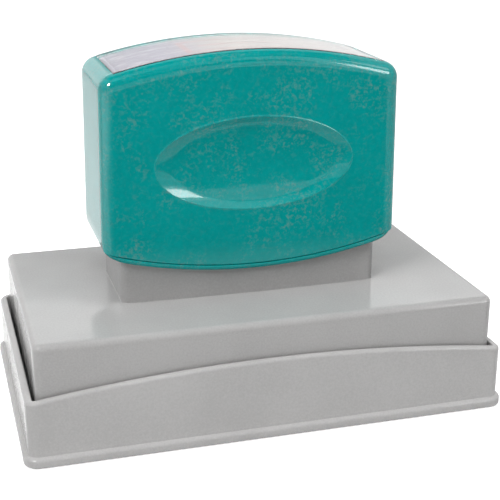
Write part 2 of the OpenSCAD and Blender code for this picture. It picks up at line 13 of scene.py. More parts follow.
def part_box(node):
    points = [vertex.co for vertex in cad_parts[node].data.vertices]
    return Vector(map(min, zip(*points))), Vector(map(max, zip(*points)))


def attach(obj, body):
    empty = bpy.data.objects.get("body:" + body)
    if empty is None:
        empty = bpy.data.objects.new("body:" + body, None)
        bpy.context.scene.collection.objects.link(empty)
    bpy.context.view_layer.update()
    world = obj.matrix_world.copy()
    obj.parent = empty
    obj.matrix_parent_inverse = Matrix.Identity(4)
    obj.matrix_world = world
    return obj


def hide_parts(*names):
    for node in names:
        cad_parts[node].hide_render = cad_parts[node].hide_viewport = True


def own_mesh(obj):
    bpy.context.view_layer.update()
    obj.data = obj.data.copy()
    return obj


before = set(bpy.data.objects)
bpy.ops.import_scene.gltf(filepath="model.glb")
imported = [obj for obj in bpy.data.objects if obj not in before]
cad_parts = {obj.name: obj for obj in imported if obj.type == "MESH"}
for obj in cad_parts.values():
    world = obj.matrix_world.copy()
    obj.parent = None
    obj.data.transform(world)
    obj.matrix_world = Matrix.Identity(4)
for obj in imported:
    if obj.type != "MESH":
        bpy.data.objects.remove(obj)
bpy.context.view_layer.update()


# Dust cover: the tray that keeps the die clean. It is moulded in grey plastic in one piece, with a bead
# round its foot and front and back walls that arch up at the rim. The skirt stands loose on its ledge.
MM = 0.001  # metres in a millimetre
MERGE = 1e-6  # corners nearer than this are one
SMALL_CORNER = 0.3  # least radius of a corner in plan
CLOSE = 0.15  # from a round to the row beside it, which keeps the flat part's shading level


def span(node):
    """Half length, half depth, lowest and highest level of a CAD node."""
    low, high = np.array(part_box(node)) / MM
    return (high[0] - low[0]) / 2, (high[1] - low[1]) / 2, low[2], high[2]


def plan_loop(half_l, half_d, corner, bow=0.0, side=40, turn=9, end=12):
    """Closed loop in plan: four sides joined by quarter circles of the corner's radius. It starts in the
    middle of the front and runs to the right. The long sides bow outwards by a parabola in x. Half a long
    side, a corner and half an end have as many points as side, turn and end say."""
    angle = np.linspace(0, np.pi / 2, turn)[1:-1]
    x = np.concatenate([np.linspace(0, half_l - corner, side),
                        half_l - corner + corner * np.sin(angle), np.full(end, half_l)])
    y = np.concatenate([np.full(side, -half_d), corner - half_d - corner * np.cos(angle),
                        np.linspace(corner - half_d, 0, end)])
    quarter = np.column_stack([x, y - bow * (1 - (x / half_l) ** 2)])
    right = np.concatenate([quarter[:-1], (quarter * (1, -1))[:0:-1]])
    return np.concatenate([right, -right])


def lift(loop, height):
    """A loop of x and y raised to a height, which is a number or a function of x."""
    level = height(loop[:, 0]) if callable(height) else np.full(len(loop), height)
    return np.column_stack([loop, level])


def lid(loop, height, rows=8):
    """A loop drawn in to its middle in equal steps, as the rows of the surface that closes it."""
    return [lift(loop * share, height) for share in np.linspace(1, 0, rows)]


def arc(inset, height, radius, start, stop, steps=7):
    """Part of a circle in a profile, as insets and heights, between two angles in degrees from a centre:
    0 points out of the outline and 90 points up."""
    angle = np.radians(np.linspace(start, stop, steps))
    return np.column_stack([inset - radius * np.cos(angle), height + radius * np.sin(angle)])


def sweep(profile, half_l, half_d, corner, rise=float, bow=0.0):
    """A profile carried round a plan outline: each of its points, an inset and a height, gives a loop.
    The rise turns a height into a number or into a function of x."""
    return [lift(plan_loop(half_l - inset, half_d - inset, max(corner - inset, SMALL_CORNER), bow),
                 rise(height)) for inset, height in profile]


def skin(rows, closed=True, keep=None):
    """Quads between the neighbours of a grid of points, rows by columns. A closed grid joins its last
    column to its first, and keep marks the quads that stay."""
    grid = np.asarray(rows, float)
    number = np.arange(grid.shape[0] * grid.shape[1]).reshape(grid.shape[:2])
    if closed:
        number = np.concatenate([number, number[:, :1]], axis=1)
    quads = np.stack([number[:-1, :-1], number[:-1, 1:], number[1:, 1:], number[1:, :-1]], axis=-1)
    return grid.reshape(-1, 3), quads.reshape(-1, 4) if keep is None else quads[keep]


def piece(name, *surfaces, crease=32):
    """One object from surfaces of points and quads: corners that meet are merged, faces are turned
    outwards, and shading is smooth except at edges sharper than the crease angle."""
    starts = np.cumsum([0] + [len(points) for points, _ in surfaces])
    points = np.concatenate([points for points, _ in surfaces]) * MM
    quads = np.concatenate([quads + start for (_, quads), start in zip(surfaces, starts)])
    mesh = bpy.data.meshes.new(name)
    mesh.from_pydata(points.tolist(), [], quads.tolist())
    work = bmesh.new()
    work.from_mesh(mesh)
    bmesh.ops.remove_doubles(work, verts=work.verts, dist=MERGE)
    bmesh.ops.recalc_face_normals(work, faces=work.faces)
    work.to_mesh(mesh)
    work.free()
    mesh.shade_smooth()
    mesh.set_sharp_from_angle(angle=np.radians(crease))
    made = bpy.data.objects.new(name, mesh)
    bpy.context.scene.collection.objects.link(made)
    return made


def feed(node, sockets):
    """Gives a node's sockets their values, or links wires to them."""
    for name, value in sockets.items():
        if isinstance(value, Wire):
            value.tree.links.new(value.output, node.inputs[name])
        else:
            node.inputs[name].default_value = value


class Wire:
    """An output of a shader node. Sums written with it add Math nodes to its tree."""

    def __init__(self, tree, output=None):
        self.tree = tree
        self.output = output

    def node(self, kind, settings=(), sockets=(), output=0):
        """Adds any other node: its settings are set first, then its sockets, and one output comes back."""
        made = self.tree.nodes.new(kind)
        for name, value in dict(settings).items():
            setattr(made, name, value)
        feed(made, dict(sockets))
        return Wire(self.tree, made.outputs[output])

    def math(self, operation, first, second):
        """A Math node on two values."""
        return self.node("ShaderNodeMath", {"operation": operation}, {0: first, 1: second})

    def __add__(self, other):
        return self.math("ADD", self, other)

    def __sub__(self, other):
        return self.math("SUBTRACT", self, other)

    def __rsub__(self, other):
        return self.math("SUBTRACT", other, self)

    def __mul__(self, other):
        return self.math("MULTIPLY", self, other)

    __radd__ = __add__
    __rmul__ = __mul__


def step(value, low, high):
    """A smooth step of a value, from 0 at low to 1 at high."""
    return value.node("ShaderNodeMapRange", {"interpolation_type": "SMOOTHSTEP"},
                      {"Value": value, "From Min": low, "From Max": high})


def tint(mask, first, second):
    """A colour that goes from the first to the second as the mask goes from 0 to 1."""
    return mask.node("ShaderNodeMix", {"data_type": "RGBA"}, {0: mask, 6: first, 7: second}, 2)


def grain(place, size, detail=2.0, curl=0.0):
    """Noise about 0.5 whose lumps are about size millimetres apart, curled into worms by its distortion."""
    return place.node("ShaderNodeTexNoise", {}, {"Vector": place, "Scale": 1 / (size * MM),
                                                 "Detail": detail, "Distortion": curl})


def dent(height, depth, strength=1.0):
    """A surface's Normal from a height field that is depth millimetres deep."""
    return height.node("ShaderNodeBump", {}, {"Height": height, "Distance": depth * MM,
                                              "Strength": strength})


def finish(name):
    """A new material, its Principled shader and a wire with the piece's own coordinates."""
    material = bpy.data.materials.new(name)
    material.use_nodes = True
    tree = material.node_tree
    place = Wire(tree).node("ShaderNodeTexCoord", output="Object")
    return material, tree.nodes["Principled BSDF"], place


def grey_plastic(name, light):
    """Satin grey moulding of a given lightness: fine grain and slow clouds in its colour, faint smears in
    its gloss, and the shallow ripple of a spark-finished mould."""
    material, shader, place = finish(name)
    speckle = grain(place, 0.45, 3.0)
    cloud = grain(place, 22, 2.0)
    tone = step(speckle * 0.55 + cloud * 0.45, 0.3, 0.7)
    smear = grain(place, 7, 4.0)
    feed(shader, {
        "Base Color": tint(tone, (0.94 * light, 0.926 * light, 0.92 * light, 1),
                           (1.08 * light, 1.066 * light, 1.06 * light, 1)),
        "Roughness": 0.10 + 0.08 * step(smear, 0.35, 0.75),
        "IOR": 1.25,
        "Normal": dent(grain(place, 0.7, 2.0), 0.004, 0.3)})
    return material


foot_half_l, foot_half_d, _, cover_top = span("dust_cover")
foot_out = 1.1
foot_h = 2.5
foot_round = 0.9
base_round = 0.6
foot_crease = 0.12
cover_wall = 1.7
cover_corner = 2.5
cover_floor = 1.8
ledge_z = 3.4
ledge_out = 1.8
rim_rise = 4.1
rim_round = 0.7
rim_inner_round = 0.4
stretch_z = 5.0
wall_rows = 5
wall_half_l = foot_half_l - foot_out
wall_half_d = foot_half_d - foot_out
rim_end_z = cover_top - rim_rise
skirt_half_l, skirt_half_d, skirt_low, neck_top = span("skirt_housing")


def arc_radius(half_span, rise):
    """Radius of the arc over a span that rises by the given height in its middle."""
    return (half_span ** 2 + rise ** 2) / (2 * rise)


rim_r = arc_radius(wall_half_l, rim_rise)


def arched(height):
    """A level of the cover's wall: it stays flat low down, and follows more of the rim's arc higher up."""
    share = np.clip((height - stretch_z) / (rim_end_z - rim_round - stretch_z), 0, 1)
    return lambda x: height + share * (np.sqrt(rim_r ** 2 - x ** 2) - rim_r + rim_rise)


cover_profile = np.concatenate([
    arc(base_round - foot_out, base_round, base_round, -90, 0),
    arc(foot_round - foot_out, foot_h - foot_round, foot_round, 0, 90),
    arc(-foot_crease, foot_h + foot_crease, foot_crease, -90, -180, 4),
    np.column_stack([np.zeros(wall_rows),
                     np.linspace(stretch_z, rim_end_z - rim_round - CLOSE, wall_rows)]),
    arc(rim_round, rim_end_z - rim_round, rim_round, 0, 90),
    arc(cover_wall - rim_inner_round, rim_end_z - rim_inner_round, rim_inner_round, 90, 180, 5),
    [(cover_wall, stretch_z), (cover_wall, ledge_z)]])
cover_rows = sweep(cover_profile, wall_half_l, wall_half_d, cover_corner, arched)
well = plan_loop(skirt_half_l - ledge_out, skirt_half_d - ledge_out, SMALL_CORNER)
cover = piece(
    "cover_tray",
    skin(lid(cover_rows[0][:, :2], 0)),
    skin(cover_rows + [lift(well, ledge_z), lift(well, cover_floor)]),
    skin(lid(well, cover_floor)))
cover.data.materials.append(grey_plastic("cover_grey", 0.445))
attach(cover, "cover")
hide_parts("dust_cover")


# Skirt: the grey outer body that stands on the paper. It is a moulded box, open below, with a hollow neck
# on its roof. Two collars on the roof guide the ink tubes and carry the feet of the springs.
skirt_wall = 1.8
skirt_corner = 2.0
shoulder_round = 1.5
skirt_rim_round = 0.4
roof_z = 28.8
ceiling_z = 26.6
neck_half_l = 32.6
neck_half_d = 12.45
neck_bow = 0.9
neck_corner = 1.6
neck_wall = 1.6
neck_foot_round = 0.15
neck_lip_round = 0.5
tube_x = 16.0
collar_r = 6.78
collar_top = 32.8
collar_round = 0.3
bore_r = 5.58
bore_lead = 1.0
bore_rows = 10
side_levels = (12.0, 20.0, roof_z - shoulder_round - CLOSE)
neck_levels = (roof_z + neck_foot_round + CLOSE, 34.0, 40.0)


def bored(loop, height, radius, rows=6, cross=9):
    """A flat plate inside a loop with two round holes at the tubes. Each half of the plate runs in straight
    lines from its border, half of the loop and the middle line, to the hole's edge at the same angle."""
    half = loop[:len(loop) // 2 + 1]
    middle = np.linspace(half[-1], half[0], cross)[1:-1]
    border = np.concatenate([half, middle])
    angle = np.arctan2(border[:, 1], border[:, 0] - tube_x)
    hole = np.column_stack([tube_x + radius * np.cos(angle), radius * np.sin(angle)])
    right = [lift(border + share * (hole - border), height) for share in np.linspace(0, 1, rows)]
    return angle, [skin(right), skin(np.array(right) * (-1, 1, 1))]


def sleeves(first, last, profile):
    """Round walls about both tubes through a profile of radii and heights. The points turn from the first
    set of angles to the last on the way."""
    share = np.linspace(0, 1, len(profile))
    first = np.unwrap(first)
    last = np.unwrap(last)
    last = last + 2 * np.pi * np.round((first - last).mean() / (2 * np.pi))
    right = [np.column_stack([
        tube_x + radius * np.cos(first + part * (last - first)),
        radius * np.sin(first + part * (last - first)), np.full(len(first), height)])
        for part, (radius, height) in zip(share, profile)]
    return [skin(right), skin(np.array(right) * (-1, 1, 1))]


def close_shares(close, rows=7):
    """Shares from 0 to 1 in equal steps, with one more step close to each end."""
    return np.concatenate([[0], np.linspace(close, 1 - close, rows), [1]])


side_profile = np.concatenate([
    [(skirt_wall, ceiling_z), (skirt_wall, skirt_low + skirt_rim_round)],
    arc(skirt_wall - skirt_rim_round, skirt_low + skirt_rim_round, skirt_rim_round, 180, 270, 4),
    arc(skirt_rim_round, skirt_low + skirt_rim_round, skirt_rim_round, -90, 0, 4),
    [(0, level) for level in side_levels],
    arc(shoulder_round, roof_z - shoulder_round, shoulder_round, 0, 90, 9)])
side_rows = sweep(side_profile, skirt_half_l, skirt_half_d, skirt_corner)
neck_profile = np.concatenate([
    arc(-neck_foot_round, roof_z + neck_foot_round, neck_foot_round, -90, -180),
    [(0, level) for level in neck_levels],
    arc(neck_lip_round, neck_top - neck_lip_round, neck_lip_round, 0, 90)])
neck_rows = sweep(neck_profile, neck_half_l, neck_half_d, neck_corner, float, neck_bow)
roof_rows = [side_rows[-1] + share * (neck_rows[0] - side_rows[-1]) for share in close_shares(0.01)]
inside = plan_loop(neck_half_l - neck_wall, neck_half_d - neck_wall, SMALL_CORNER)
inside_rows = [neck_rows[-1], lift(inside, neck_top), lift(inside, roof_z)]
floor_angle, neck_floor = bored(inside, roof_z, collar_r)
ceiling_angle, ceiling = bored(side_rows[0][:, :2], ceiling_z, bore_r)
collar_profile = np.concatenate([
    [(collar_r, roof_z)],
    arc(-collar_r + collar_round, collar_top - collar_round, collar_round, 0, 90, 4) * (-1, 1),
    arc(-bore_r - collar_round, collar_top - collar_round, collar_round, 90, 180, 4) * (-1, 1),
    np.column_stack([np.full(bore_rows, bore_r),
                     np.linspace(collar_top - bore_lead, ceiling_z, bore_rows)])])
skirt = piece(
    "skirt_shell", skin(side_rows), skin(roof_rows), skin(neck_rows), skin(inside_rows),
    *neck_floor, *ceiling, *sleeves(floor_angle, ceiling_angle, collar_profile))
skirt.data.materials.append(grey_plastic("skirt_grey", 0.41))
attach(skirt, "skirt")
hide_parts("skirt_housing")


# Die frame and die holder: black mouldings that clamp the die between them. The holder is the box behind
# the die, and the frame snaps round its edge and slides in the skirt.
def black_plastic(name):
    """Matt black moulding with a fine spark grain, a little dust in its clouds and uneven gloss."""
    material, shader, place = finish(name)
    speckle = grain(place, 0.5, 3.0)
    cloud = grain(place, 9, 3.0)
    feed(shader, {
        "Base Color": tint(step(speckle * 0.5 + cloud * 0.5, 0.35, 0.7),
                           (0.012, 0.012, 0.013, 1), (0.03, 0.03, 0.032, 1)),
        "Roughness": 0.38 + 0.2 * step(cloud, 0.3, 0.7),
        "IOR": 1.5,
        "Normal": dent(speckle, 0.03, 0.6)})
    return material


def dress(node, material):
    """Gives a CAD node its material."""
    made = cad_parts[node]
    made.data.materials.clear()
    made.data.materials.append(material)


dress("die_frame", black_plastic("frame_black"))
dress("die_holder", black_plastic("holder_black"))


# Stamp die: a sheet of porous printing rubber, whose face has a raised border and plain bars. Its edge is
# clamped between frame and holder.
def porous_rubber(name):
    """Dark red rubber full of fine pores that hold the ink, stained darker in patches."""
    material, shader, place = finish(name)
    pore_size = 0.5
    pores = place.node("ShaderNodeTexVoronoi", {}, {"Vector": place, "Scale": 1 / (pore_size * MM)})
    stain = grain(place, 6, 4.0)
    feed(shader, {
        "Base Color": tint(step(stain, 0.35, 0.7), (0.10, 0.018, 0.02, 1), (0.05, 0.012, 0.02, 1)),
        "Roughness": 0.6 + 0.25 * step(pores, 0.1, 0.6),
        "IOR": 1.5,
        "Normal": dent(step(pores, 0.05, 0.35), 0.05, 0.7)})
    return material


dress("stamp_die", porous_rubber("die_red"))


# Ink pad: a block of felt soaked with ink that fills the holder above the die. It is cut from sheet, so its
# edges are soft, and its sides bulge a little between the die and the holder.
def felt(name):
    """Inked felt: short matted fibres as stretched noise, with darker wet patches."""
    material, shader, place = finish(name)
    fibre_place = place.node("ShaderNodeMapping", {}, {"Vector": place, "Scale": (1, 1, 2.5)})
    fibres = grain(fibre_place, 0.6, 6.0)
    wet = grain(place, 12, 3.0)
    feed(shader, {
        "Base Color": tint(step(fibres * 0.6 + wet * 0.4, 0.35, 0.65),
                           (0.012, 0.010, 0.02, 1), (0.055, 0.048, 0.07, 1)),
        "Roughness": 0.75 + 0.2 * step(wet, 0.3, 0.7),
        "Sheen Weight": 0.3,
        "Normal": dent(fibres, 0.25, 0.8)})
    return material


pad_half_l, pad_half_d, pad_low, pad_high = span("ink_pad")
pad_round = 1.6
pad_bulge = 0.5
pad_corner = 3.0
pad_lean = 8
pad_side_rows = 7
pad_mid = (pad_low + pad_high) / 2
side_z = np.linspace(pad_low + pad_round, pad_high - pad_round, pad_side_rows)
bulge = pad_bulge * ((side_z - pad_mid) / (side_z[0] - pad_mid)) ** 2
pad_profile = np.concatenate([
    arc(pad_round + pad_bulge, pad_low + pad_round, pad_round, -90, -pad_lean),
    np.column_stack([bulge, side_z]),
    arc(pad_round + pad_bulge, pad_high - pad_round, pad_round, pad_lean, 90)])
pad_rows = sweep(pad_profile, pad_half_l, pad_half_d, pad_corner)
pad = piece(
    "ink_felt_block", skin(pad_rows),
    skin(lid(pad_rows[0][:, :2], pad_low)), skin(lid(pad_rows[-1][:, :2], pad_high)), crease=60)
pad.data.materials.append(felt("inked_felt"))
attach(pad, "plunger")
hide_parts("ink_pad")


# Ink tubes and yoke: mouldings in uncoloured plastic. The tubes are screwed to the holder, take drops of
# ink and guide the stroke in the skirt's collars. The yoke sits on the springs and takes the push of the
# hand.
def natural_plastic(name):
    """Milky uncoloured plastic: slow clouds in its colour, faint flow lines, and a soft gloss."""
    material, shader, place = finish(name)
    cloud = grain(place, 8, 3.0)
    flow_place = place.node("ShaderNodeMapping", {}, {"Vector": place, "Scale": (1, 1, 0.12)})
    flow = grain(flow_place, 1.2, 3.0)
    feed(shader, {
        "Base Color": tint(step(cloud * 0.6 + flow * 0.4, 0.3, 0.7),
                           (0.62, 0.61, 0.55, 1), (0.74, 0.73, 0.68, 1)),
        "Roughness": 0.3 + 0.15 * step(flow, 0.3, 0.7),
        "IOR": 1.5,
        "Subsurface Weight": 0.15,
        "Subsurface Radius": (0.004, 0.004, 0.003),
        "Normal": dent(flow, 0.02, 0.5)})
    return material


tube_white = natural_plastic("tube_natural")
dress("ink_tube_left", tube_white)
dress("ink_tube_right", tube_white)
dress("yoke", natural_plastic("yoke_natural"))


# Seals, stop buffers and grip pads: small pieces cut from soft black rubber. The seals lie under the tubes'
# feet, the buffers end the stroke, and the pads at the yoke's ends hold the handle by friction.
def black_rubber(name):
    """Soft rubber: near black with a grey bloom, matt, with a fine cut surface."""
    material, shader, place = finish(name)
    bloom = grain(place, 3, 4.0)
    cut = grain(place, 0.3, 3.0)
    feed(shader, {
        "Base Color": tint(step(bloom, 0.4, 0.75), (0.010, 0.010, 0.010, 1), (0.03, 0.03, 0.031, 1)),
        "Roughness": 0.62 + 0.2 * step(bloom, 0.3, 0.7),
        "IOR": 1.45,
        "Normal": dent(cut, 0.03, 0.6)})
    return material


soft_black = black_rubber("soft_black")
dress("tube_seals", soft_black)
dress("stop_buffers", soft_black)
dress("grip_pads", soft_black)


# Return springs: six turns of round steel wire each, with the end turns closed. They stand on the skirt's
# roof round the collars and lift the yoke, and with it the printing unit, off the paper.
def bright_steel(name):
    """Drawn steel wire: bright, with fine draw lines, and a faint blue-brown tone in patches."""
    material, shader, place = finish(name)
    draw = grain(place, 0.15, 3.0)
    tone = grain(place, 4, 3.0)
    feed(shader, {
        "Base Color": tint(step(tone, 0.35, 0.7), (0.52, 0.52, 0.53, 1), (0.44, 0.43, 0.42, 1)),
        "Metallic": 1.0,
        "Roughness": 0.22 + 0.16 * step(draw, 0.3, 0.7),
        "Normal": dent(draw, 0.01, 0.4)})
    return material


spring_wire = 1.2
spring_turns = 6
spring_gap = 0.05
spring_low = roof_z + spring_gap
spring_high = 58.75
closed_pitch = 1.75


def coil(centre_x, mean_r, stations=300, sides=14):
    """Round wire along a helix: a circle across the path at each station, its first axis away from the
    helix's own axis and its second square to that and to the path. The ends shrink to a point."""
    turns = np.linspace(0, spring_turns, stations)
    height = spring_high - spring_low - spring_wire
    level = np.interp(turns, [0, 1, spring_turns - 1, spring_turns],
                      [0, closed_pitch, height - closed_pitch, height])
    angle = 2 * np.pi * turns
    out = np.column_stack([np.cos(angle), np.sin(angle), np.zeros(stations)])
    path = mean_r * out + np.column_stack([np.full(stations, centre_x), np.zeros(stations),
                                           spring_low + spring_wire / 2 + level])
    along = np.gradient(path, axis=0)
    across = np.cross(along / np.linalg.norm(along, axis=1, keepdims=True), out)
    section = np.linspace(0, 2 * np.pi, sides, endpoint=False)[None, :, None]
    circle = np.cos(section) * out[:, None] + np.sin(section) * across[:, None]
    rows = path[:, None] + spring_wire / 2 * circle
    ends = np.repeat(path[[0, -1], None], sides, axis=1)
    return skin(np.concatenate([ends[:1], rows, ends[1:]]))


wire_steel = bright_steel("wire_steel")
for side, name in ((-1, "return_spring_left"), (1, "return_spring_right")):
    spring_half, _, _, _ = span(name)
    wire = coil(side * tube_x, spring_half - spring_wire / 2)
    spring = piece(name.replace("return", "wound"), wire, crease=70)
    spring.data.materials.append(wire_steel)
    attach(spring, "plunger")
    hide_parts(name)
    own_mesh(spring)


# Screws and retaining clips: steel fasteners. The screws go through the tubes' feet into the holder, and
# the clips snap into the tubes' grooves above the yoke.
clip_steel = bright_steel("clip_steel")
dress("tube_screws", clip_steel)
dress("retaining_clips", clip_steel)


# Handle shell: the teal cap that the palm rests on. It is moulded from recycled plastic, so pale specks run
# through it. An oval dish is sunk in front and back, and a pocket on top takes label and window.
def teal_plastic(name):
    """Glossy teal plastic: worm-like pale specks gathered in drifts, fainter clouds, and a shallow
    ripple."""
    material, shader, place = finish(name)
    worms = step(grain(place, 1.3, 3.0, 0.6), 0.50, 0.78)
    crumbs = step(grain(place, 0.6, 2.0), 0.46, 0.76)
    drifts = step(grain(place, 10, 3.0), 0.42, 0.64)
    specks = (worms * 0.6 + crumbs * 0.4) * (0.15 + 0.85 * drifts)
    cloud = step(grain(place, 1.4, 2.0) * 0.6 + grain(place, 14, 2.0) * 0.4, 0.3, 0.7)
    body = tint(cloud, (0.0004, 0.270, 0.263, 1), (0.0006, 0.304, 0.297, 1))
    feed(shader, {
        "Base Color": tint(specks, body, (0.115, 0.28, 0.257, 1)),
        "Roughness": 0.06 + 0.05 * step(grain(place, 5, 4.0), 0.35, 0.75),
        "IOR": 1.36,
        "Normal": dent(grain(place, 1.1, 2.0), 0.008, 0.4)})
    return material


handle_half_d = 15.25
end_x = 37.15
end_low_z = 41.3
side_h = 42.7
end_draft = 0.6
under_sag = 5.6
crown_rise = 5.3
edge_reach = 3.75
edge_power = 2.4
corner_r = 4.0
ring_h = 1.5
handle_wall = 1.5
parting_lip = 0.2
dish_half_l = 24.3
dish_half_h = 11.1
dish_slope_l = 4.3
dish_slope_h = 1.7
dish_depth = 1.3
dish_edge_depth = 0.95
bowl_depth = 1.7
dish_fall_power = 1.2
dish_back_margin = 0.7
bead_w = 0.4
bead_h = 0.06
window_seat = 1.4
label_seat = 1.8
top_skin = 1.6
window_half_l, window_half_d, _, _ = span("label_window")
label_half_l, label_half_d, _, _ = span("index_label")
window_gap = 0.06
label_slack = 0.1
pocket_half_l = window_half_l + window_gap
pocket_half_d = window_half_d + window_gap
recess_half_l = label_half_l + label_slack
recess_half_d = label_half_d + label_slack
under_r = arc_radius(end_x, under_sag)
under_z = end_low_z - under_sag + under_r
crown_r = arc_radius(end_x - end_draft, crown_rise)
crown_z = end_low_z + side_h + crown_rise - crown_r
dish_z = (end_low_z - under_sag + crown_z + crown_r) / 2


def end_line(z):
    """Half length of the handle at a height: its ends lean in towards the top."""
    return end_x - end_draft * (z - end_low_z) / side_h


def crown(depth):
    """The arc of the top, some depth below it, as a function of x."""
    return lambda x: crown_z + np.sqrt((crown_r - depth) ** 2 - x ** 2)


def underside(height):
    """The arc of the underside, some height above it, as a function of x."""
    return lambda x: under_z - np.sqrt((under_r - height) ** 2 - x ** 2)


low_x = end_line(end_low_z + corner_r) - corner_r
low_z = underside(corner_r)(low_x)
high_x = end_line(end_low_z + side_h - corner_r) - corner_r
high_z = crown(corner_r)(high_x)
high_turn = np.arccos(high_x / (crown_r - corner_r))
hollow_x = end_line(end_low_z) - handle_wall
hollow_d = handle_half_d - handle_wall
lip_share = 0.97
MEETING_ROUNDS = 6
NEAR_ZERO = 1e-9
# Numbers of points along the parts of the shell's outline, round its edge, and down the dish
BOTTOM = 30
LIP = 4
END = 22
CORNER = 10
TOP = 26
POCKET = 3
EDGE = 16
ACROSS = 7
HOLLOW = 26
BEAD = 9
SLOPE = 22
BOWL = 16


def end_edge(z, inset):
    """How far the end reaches at a height: up to its leaning line, drawn in by the inset, or to the round
    of the lower corner, whichever is nearer."""
    round_x = low_x + np.sqrt(np.maximum(corner_r ** 2 - np.minimum(z - low_z, 0) ** 2, 0))
    return np.minimum(end_line(z) - inset, round_x)


def shell_half(y, inset):
    """Right half of the shell's outline at a depth y, from the middle of the parting line round the end to
    the middle of the top. The end, the upper corner and the top are drawn in by the inset. A few rounds
    find the point where the end meets the parting line."""
    lip = max(parting_lip - handle_half_d + abs(y), 0)
    rise = ring_h + parting_lip - np.sqrt(parting_lip ** 2 - lip ** 2)
    meet_z = end_low_z
    for _ in range(MEETING_ROUNDS):
        meet_x = end_edge(meet_z, inset)
        meet_z = underside(rise)(meet_x)
    inner_x = min(hollow_x, lip_share * meet_x)
    bottom_x = np.concatenate([np.linspace(0, inner_x, BOTTOM, endpoint=False),
                               np.linspace(inner_x, meet_x, LIP, endpoint=False)])
    end_z = np.linspace(meet_z, high_z, END, endpoint=False)
    turn = np.linspace(0, high_turn, CORNER, endpoint=False)
    reach = corner_r - inset
    pocket_turn = np.arccos(pocket_half_l / crown_r)
    top_turn = np.concatenate([np.linspace(high_turn, pocket_turn, POCKET, endpoint=False),
                               np.linspace(pocket_turn, np.pi / 2, TOP)])
    x = np.concatenate([bottom_x, end_edge(end_z, inset), high_x + reach * np.cos(turn),
                        (crown_r - inset) * np.cos(top_turn)])
    z = np.concatenate([underside(rise)(bottom_x), end_z, high_z + reach * np.sin(turn),
                        crown_z + (crown_r - inset) * np.sin(top_turn)])
    return np.column_stack([x, np.full(len(x), y), z])


def rim(patch):
    """The closed loop of points round the edge of a patch of a grid."""
    return np.concatenate([patch[0, :-1], patch[:-1, -1], patch[-1, :0:-1], patch[:0:-1, 0]])


def dish_fall(share):
    """Depth of the dish, as a share, across its slope: steepest at the outer edge, by a power of the share
    that is left."""
    return 1 - (1 - share) ** dish_fall_power


def dish_back(x, z):
    """How far the dish's back stands into the hollow: the share of the way from its rim to its floor,
    by the two ellipses' own radii."""
    rim_l = dish_half_l + dish_back_margin
    rim_h = dish_half_h + dish_back_margin
    rim_share = np.hypot(x / rim_l, (z - dish_z) / rim_h)
    floor_share = np.hypot(x / (rim_l - dish_slope_l), (z - dish_z) / (rim_h - dish_slope_h))
    across = np.clip(1 - rim_share, 0, None)
    slope = across / (across + np.abs(floor_share - 1) + NEAR_ZERO)
    return dish_depth * np.where(floor_share < 1, 1, slope)


def dished_face(border, y_sign):
    """A flat face from its border to the dish's edge, matched by the angle in the ellipse's own measure,
    then over a fine bead, down the slope and across the floor, a bowl by the square of the radius.
    Close rows at both ends of the flat part keep its shading level."""
    turn = np.arctan2((border[:, 2] - dish_z) / dish_half_h, border[:, 0] / dish_half_l)

    def ellipse(half_l, half_h, depth):
        """The border's angles on an ellipse about the dish's middle, at a depth below the face."""
        return np.column_stack([half_l * np.cos(turn), np.full(len(turn), y_sign * (handle_half_d - depth)),
                                dish_z + half_h * np.sin(turn)])

    bead = [ellipse(dish_half_l + bead_w * share, dish_half_h + bead_w * share,
                    -bead_h * np.sin(np.pi * share)) for share in np.linspace(1, 0, BEAD)]
    flat = [border + share * (bead[0] - border) for share in close_shares(0.015)]
    slope = [ellipse(dish_half_l - dish_slope_l * share, dish_half_h - dish_slope_h * share,
                     dish_edge_depth * dish_fall(share)) for share in np.linspace(0, 1, SLOPE)]
    floor = [ellipse((dish_half_l - dish_slope_l) * share, (dish_half_h - dish_slope_h) * share,
                     bowl_depth + (dish_edge_depth - bowl_depth) * share ** 2)
             for share in np.linspace(1, 0, BOWL)]
    return [skin(flat + bead[1:]), skin(slope), skin(floor)]


def slab(half_l, half_d, low, high, centre_x):
    """A closed block with rounded upright edges, embedded in the shell that it stiffens."""
    loop = plan_loop(half_l, half_d, SMALL_CORNER, side=4, turn=4, end=6)
    rows = lid(loop, low, 3)[::-1] + lid(loop, high, 3)
    return skin(np.array(rows) + (centre_x, 0, 0))


# The long edges are superellipses in section, with rows where the pocket's and the hollow's sides begin
flat_y = handle_half_d - edge_reach
shelf_shares = (np.array([pocket_half_d, hollow_d]) - flat_y) / edge_reach
shelf_turns = np.arcsin(shelf_shares ** (edge_power / 2))
turns = np.sort(np.concatenate([np.linspace(0, np.pi / 2, EDGE), shelf_turns]))[::-1]
front_y = -flat_y - edge_reach * np.sin(turns) ** (2 / edge_power)
front_in = edge_reach * (1 - np.maximum(np.cos(turns), 0) ** (2 / edge_power))
row_y = np.concatenate([front_y, np.linspace(-flat_y, flat_y, ACROSS + 2)[1:-1], -front_y[::-1]])
row_in = np.concatenate([front_in, np.zeros(ACROSS), front_in[::-1]])
right_half = np.stack([shell_half(y, inset) for y, inset in zip(row_y, row_in)])
shell_grid = np.concatenate([right_half[:, :-1], (right_half * (-1, 1, 1))[:, :0:-1]], axis=1)
columns = np.arange(shell_grid.shape[1])[None, :]
rows = np.arange(shell_grid.shape[0] - 1)[:, None]
pocket_column = BOTTOM + LIP + END + CORNER + POCKET
pocket_row, hollow_row = len(front_y) - 1 - np.searchsorted(
    -front_y[::-1], np.array([pocket_half_d, hollow_d]) - MERGE)
last_row = len(row_y) - 1
in_pocket = ((columns >= pocket_column) & (columns < columns.size - pocket_column)
             & (rows >= pocket_row) & (rows < last_row - pocket_row))
in_hollow = (((columns < BOTTOM) | (columns >= columns.size - BOTTOM))
             & (rows >= hollow_row) & (rows < last_row - hollow_row))
